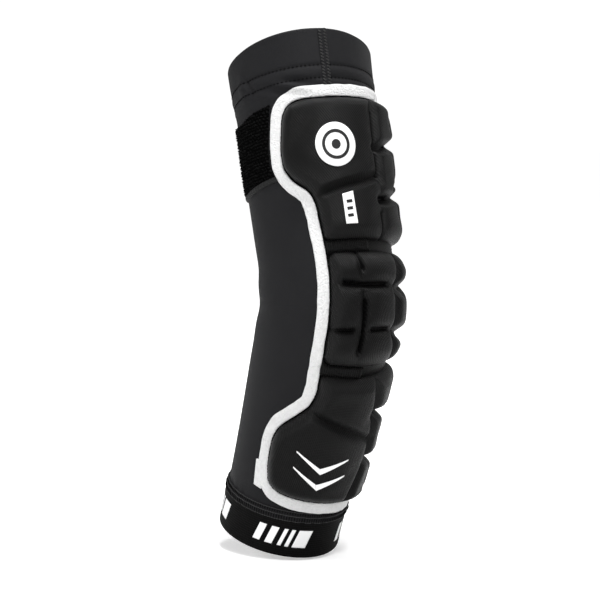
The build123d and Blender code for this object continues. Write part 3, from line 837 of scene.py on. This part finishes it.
def make_hem_stitches():
    """Two rows of lockstitch sunk in the grooves of the top hem, broken at the closing seam."""
    stitches = []
    for row in STITCH_ROWS:
        for angle in np.arange(SEAM_ANGLE + 5, SEAM_ANGLE + 356, 3.3):
            ends = []
            for place in (angle, angle + 1.6):
                along = row_height(row, place)
                ends.append((place, along, folds(place, along) - 0.2))
            stitches.append(ends)
    sewn = threads("hem_stitches", stitches, 0.36, BLACK_THREAD, 0.15)
    finish_piece(sewn, "thread", ride_upper, "top_hem_stitching")


def make_closing_seam():
    """Flat seam from the tape to the rim, with a column of slanted stitches down each side."""
    def rise(angle, along):
        offset = (angle - SEAM_ANGLE) / SEAM_SPREAD
        ridge = 0.55 * (1 - offset ** 4) + 0.25 * hump(np.abs(offset), 0.55, 0.18)
        return ridge + hem_relief(angle, along) * 0.5

    low, top = 132.8, rim_height(SEAM_ANGLE) + 0.6
    start, end = SEAM_ANGLE - SEAM_SPREAD, SEAM_ANGLE + SEAM_SPREAD
    band = strip("closing_seam_band", start, end, low, top, rise, 0.8, SLEEVE, 0.4)
    stitches = []
    for side in (-1, 1):
        for along in np.arange(low + 0.5, top - 1.5, 2.1):
            angle = SEAM_ANGLE + side * SEAM_SPREAD * 0.55
            level = folds(angle, along) + 0.9
            stitches.append([(angle - 1.1, along, level), (angle + 1.1, along + 1.4, level)])
    sewn = threads("closing_seam_thread", stitches, 0.4, THREAD, 0.2)
    finish_piece(join("closing_seam_stitched", [band, sewn]), "sleeve_knit", ride_upper, "closing_seam")


def strap_sheet(name, low, high, rise, drop, material, step):
    """Sheet between two shares of the strap's height, starting at the tape's outer edge."""
    rows = int(math.radians(STRAP_TO - 70) * R_TOP / step)
    share = np.linspace(low, high, int((high - low) * STRAP_HEIGHT / step))[None, :]
    run = np.linspace(0, 1, rows)[:, None]
    height = STRAP_LOW + share * STRAP_HEIGHT
    start = np.interp(height, [73, 77, 85, 97, 119, 125], [67, 70, 74, 73, 67.3, 63.5])
    angle = start + (STRAP_TO - start) * run
    bottom = np.interp(angle, [71, 89, 112, 150], [75, 73.4, 71.5, STRAP_LOW])
    top = np.interp(angle, [63, 80, 104, 150], [125, 123, 118.5, STRAP_HIGH])
    along = bottom + share * (top - bottom)
    level = rise(angle, along, share) + folds(angle, along)
    return sheet(name, angle, along, level, drop, material)


def make_strap():
    """Loop-pile strap with a bound lower edge."""
    def curls(angle, along, share):
        u, v = flat(angle, along)
        u = u + 0.7 * np.sin(v * 0.9 + 1.3 * np.sin(u * 0.31)) + NOISE.normal(0, 0.12, u.shape)
        v = v + 0.5 * np.sin(u * 0.53) * np.sin(v * 0.37)
        row = np.floor(v / CURL)
        bead = np.sin(math.pi * v / CURL) ** 2 * np.sin(math.pi * (u / (1.3 * CURL) + 0.5 * (row % 2))) ** 2
        rough = NOISE.normal(0, 0.3, bead.shape)
        return 1.1 + 1.3 * bead + rough + 0.3 * np.sin(u / 19)

    bound_share = BINDING / STRAP_HEIGHT
    pile = strap_sheet("strap_pile", bound_share, 1.0, curls, 1.6, PILE, 0.4)
    finish_piece(pile, "loop_pile", ride_upper, "strap_loop_pile")

    def bound(angle, along, share):
        across = 2 * np.clip(share / bound_share, 0, 1) - 1
        return 0.6 + 1.0 * np.sqrt(np.clip(1 - across ** 2, 0, 1)) + 0.1 * np.sin(angle * 1.7)

    edge = strap_sheet("strap_edge_binding", 0.0, bound_share - 0.004, bound, 1.0, WEBBING, 0.4)
    finish_piece(edge, "webbing", ride_upper, "strap_binding")


def slab(name, angle, along, bottom, top, material):
    """Flap with a top, a bottom and four closed edges; the levels are above the bare sleeve."""
    upper = sheet(name, angle, along, top, top - bottom, material)
    under = sheet(name + "_under", angle, along, bottom, 0.0, material)
    under.data.flip_normals()
    return join(name, [upper, under])


def make_tab():
    """Rounded closing tab with hooks under its tip, and the sewn root it folds at."""
    angle = np.linspace(TAB_TIP, TAB_ROOT, 150)[:, None]
    share = np.linspace(-1, 1, 70)[None, :]
    middle, half = (TAB_LOW + TAB_HIGH) / 2, (TAB_HIGH - TAB_LOW) / 2
    from_tip = np.radians(angle - TAB_TIP) * TAB_REACH
    inset = np.clip(TAB_CORNER - from_tip, 0, TAB_CORNER)
    along = middle + share * (half - (TAB_CORNER - np.sqrt(TAB_CORNER ** 2 - inset ** 2)))
    edge = np.minimum(half - np.abs(along - middle), from_tip + 0.4)
    top = TAB_LEVEL + 1.5 * pillow(edge + 0.5, 1.6) - 0.3 * hump(edge, 2.6, 0.5) + 0.06 * np.sin(angle * 0.9)
    tab = slab("closing_tab", angle, along, np.full(top.shape, TAB_LEVEL), top, WEBBING)
    finish_piece(tab, "webbing", ride_tab, "strap_tab")

    angle = np.linspace(213, 247, 90)[:, None]
    along = np.linspace(TAB_LOW + 3, TAB_HIGH - 3, 90)[None, :]
    u, v = flat(angle, along)
    spikes = 0.7 * (np.sin(math.pi * u / 1.3) * np.sin(math.pi * v / 1.3)) ** 2
    level = np.full(spikes.shape, TAB_LEVEL - 0.1)
    hooks = slab("tab_hooks", angle, along, TAB_LEVEL - 0.5 - spikes, level, HOOKS)
    finish_piece(hooks, "hooks", ride_tab, "tab_hook_patch")

    def rise(angle, along):
        return TAB_LEVEL + 1.3 - 0.35 * np.cos((angle - TAB_ROOT - 4) * 2.4) + 0.1 * np.sin(along * 2.2)

    start, end = TAB_ROOT + 2.7, TAB_ROOT + 6.5
    root = strip("tab_sewn_root", start, end, TAB_LOW, TAB_HIGH, rise, 5.0, WEBBING, 0.5)
    finish_piece(root, "webbing", ride_upper, "tab_root_seam")


def band_level(angle, along):
    """Outer face of the elastic band: fine ribs round it, a rolled lower edge and a slight flare."""
    from_end = along - BAND_END
    rib = 0.05 * np.sin(2 * math.pi * along / 1.6)
    edge = 0.9 * (1 - pillow(from_end + 0.3, 1.4))
    return 1.25 + rib - edge + 0.5 * hump(from_end, 0, 9) + 0.25 * np.sin(np.radians(angle) * 3 + 1)


def make_band():
    """Woven elastic cuff, as a closed ring, with slanted bars woven in white."""
    angle = np.linspace(0, 360, 300, endpoint=False)[:, None]
    along = np.linspace(BAND_END, BAND_TOP, 90)[None, :]
    outer = surface(angle, along, band_level(angle, along))
    inner = surface(angle, along, band_level(angle, along) - 2.1)
    points = np.concatenate([inner[:, -1:], outer[:, ::-1], inner], 1)
    v = np.concatenate([along[:, -1:], along[:, ::-1], along], 1)
    v = np.broadcast_to(v, points.shape[:2])
    uv = np.stack([np.broadcast_to(np.radians(angle) * R_BAND, v.shape), v], -1)
    faces = grid_faces(300, points.shape[1], wrap_rows=True)
    band = mesh_object("elastic_cuff", points, faces, ELASTIC, uv, 2 * math.pi * R_BAND)
    finish_piece(band, "elastic", ride_forearm, "cuff_elastic_band")
    bars = []
    low, high, lean = -156.0, -143.5, 4.5
    for group in range(4):
        for offset, wide in ((0, 7.0), (12, 7.0), (24, 3.5), (31, 3.5), (38, 13.0)):
            left = 57 - 90 * group - offset
            corners = [(left, high), (left - wide, high), (left - wide + lean, low), (left + lean, low)]
            bars.append(quad_patch("bar", corners, 0.12, PRINT, 14, band_level))
    finish_piece(join("cuff_bars", bars), "print_white", ride_forearm)


def ladder_place(row, angle):
    """The seam over the band's upper edge."""
    return BAND_TOP + row + 0.3 * np.sin(np.radians(3 * np.asarray(angle, float)))


def ridge_rise(angle, along):
    """Turned edge under the ladder seam: thick over the band, thin on the sleeve."""
    place = along - ladder_place(0.0, angle)
    low = np.exp(-(((place - 1.6) / 2.3) ** 4))
    high = np.exp(-(((place - 5.2) / 1.6) ** 4))
    return 0.25 + 1.35 * low + 0.6 * high


def make_ladder_seam():
    """Rungs of black thread over the band's turned upper edge, between rails, with a finer row above."""
    ridge = strip("ridge", 0, 360, BAND_TOP - 1.2, BAND_TOP + 7.2, ridge_rise, 0.6, SLEEVE, 0.5)
    rungs, rails = [], []
    for angle in np.arange(0, 360, 2.4):
        for low, high in ((0.2, 3.0), (4.4, 5.9)):
            ends = []
            for row, place in ((low, angle), (high, angle + 0.3)):
                along = ladder_place(row, place)
                ends.append((place, along, ridge_rise(place, along) + folds(place, along) + 0.12))
            rungs.append(ends)
        for row in (-0.2, 3.5, 6.4):
            ends = []
            for place in (angle - 0.1, angle + 2.2):
                along = ladder_place(row, place)
                ends.append((place, along, ridge_rise(place, along) + folds(place, along) + 0.1))
            rails.append(ends)
    black = threads("rungs", rungs, 0.42, BLACK_THREAD, 0.1)
    grey_rails = threads("rails", rails, 0.24, THREAD, 0.1)
    seam = join("cuff_ladder_threads", [ridge, black, grey_rails])
    finish_piece(seam, "thread", ride_forearm, "cuff_ladder_seam")


def make_linings():
    """Silicone grippers inside both cuffs and the care label."""
    def rings(base):
        def level(angle, along):
            return base - 0.35 * np.abs(np.sin(math.pi * along / 3.0)) + 0.12 * np.sin(np.radians(angle) * 40)
        return level

    for name, node, low, high, base, ride in (
        ("top_silicone", "top_gripper", 135.0, 147.0, -3.6, ride_upper),
        ("cuff_silicone", "cuff_gripper", -159.0, -143.0, -1.3, ride_forearm),
    ):
        obj = strip(name, 0, 360, low, high, rings(base), -0.5, SILICONE, 0.6)
        obj.data.flip_normals()
        finish_piece(obj, "silicone", ride, node)

    def flat_label(angle, along):
        return -2.6 + 0.1 * np.sin(angle * 0.8)

    tag = strip("sewn_label", 196, 216, 113, 132, flat_label, -0.3, LABEL, 0.8)
    tag.data.flip_normals()
    finish_piece(tag, "label_white", ride_upper, "care_label")


def make_tape_end():
    """Cut end of the tape, lapped over its start at the lower lateral corner."""
    corners = [(73.6, -102.5), (68, -102), (63, -121.0), (71.2, -120.0)]
    finish_piece(quad_patch("edge_tape_end", corners, 1.25, WHITE, 16, folds), "tape_white", ride_forearm)


def camera_only(tree, strength, extra):
    """A strength with an extra part that the camera sees and that lights nothing."""
    ray = tree.nodes.new("ShaderNodeLightPath")
    seen = times(tree, ray.outputs["Is Camera Ray"], extra)
    return plus(tree, seen, strength)


def make_floor():
    """Wide round floor, pale near the guard and white far off, so that no horizon shows."""
    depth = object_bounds()[0].z - 0.0015
    material, tree, shader = node_material("floor_white")
    turn = np.linspace(0, 2 * math.pi, 64, endpoint=False)[:, None]
    reach = np.array([[0.0005, 0.5, 1.5, 4.0, 12.0, 40.0]])
    points = np.stack([reach * np.cos(turn), reach * np.sin(turn), np.full((64, 6), depth)], -1)
    floor = mesh_object("floor", points, grid_faces(64, 6, wrap_rows=True), material)
    set_inputs(shader, {"Base Color": (0.9, 0.9, 0.9, 1), "Roughness": 0.9})
    set_inputs(shader, {"Specular IOR Level": 0.0, "Emission Color": (1, 1, 1, 1)})
    coords = tree.nodes.new("ShaderNodeTexCoord")
    distance = tree.nodes.new("ShaderNodeVectorMath")
    distance.operation = "LENGTH"
    link(tree, coords.outputs["Object"], distance.inputs[0])
    near = math_node(tree, "MINIMUM", times(tree, distance.outputs["Value"], 0.2), 0.35)
    link(tree, camera_only(tree, 0.0, plus(tree, near, 0.35)), shader.inputs["Emission Strength"])


def area_light(name, place, size, energy, target=(0, 0, 0)):
    """Round soft light in a place, facing a target."""
    data = bpy.data.lights.new(name, "AREA")
    data.shape = "DISK"
    data.size = size
    data.energy = energy
    obj = bpy.data.objects.new(name, data)
    bpy.context.scene.collection.objects.link(obj)
    obj.location = place
    direction = Vector(target) - Vector(place)
    obj.rotation_mode = "QUATERNION"
    obj.rotation_quaternion = direction.to_track_quat("-Z", "Y")


def make_lights():
    world = bpy.data.worlds.new("studio")
    world.use_nodes = True
    tree = world.node_tree
    backdrop = tree.nodes["Background"]
    set_inputs(backdrop, {"Color": (1, 1, 1, 1)})
    link(tree, camera_only(tree, 0.36, 0.7), backdrop.inputs["Strength"])
    bpy.context.scene.world = world
    area_light("key", (1.1, -0.6, 1.35), 0.35, 19, (0, 0, 0.02))
    area_light("fill", (-0.3, -1.4, 0.7), 0.5, 7)
    area_light("overhead", (0.2, -0.1, 1.7), 0.6, 34)
    area_light("rim", (0.0, 1.5, 0.6), 0.6, 3)


def make_camera():
    """Long lens from the elbow tip's lateral side, a little above the elbow."""
    azimuth, elevation, roll = (math.radians(a) for a in (CAMERA_TURN, CAMERA_RISE, CAMERA_ROLL))
    level = math.cos(elevation)
    back = Vector((math.sin(azimuth) * level, -math.cos(azimuth) * level, math.sin(elevation)))
    data = bpy.data.cameras.new("camera")
    data.lens = CAMERA_LENS
    data.sensor_width = 36
    data.shift_x, data.shift_y = CAMERA_SHIFT
    data.clip_start, data.clip_end = 0.05, 50
    camera = bpy.data.objects.new("camera", data)
    bpy.context.scene.collection.objects.link(camera)
    turn = back.to_track_quat("Z", "Y").to_matrix() @ Matrix.Rotation(roll, 3, "Z")
    camera.matrix_world = Matrix.Translation(back * CAMERA_DISTANCE) @ turn.to_4x4()
    bpy.context.scene.camera = camera


make_sleeve()
make_pads()
make_tape()
make_tape_end()
make_prints()
make_seam_strips()
make_hem_stitches()
make_closing_seam()
make_strap()
make_tab()
make_band()
make_ladder_seam()
make_linings()
make_floor()
make_lights()
make_camera()
bpy.context.scene.view_settings.view_transform = "Standard"
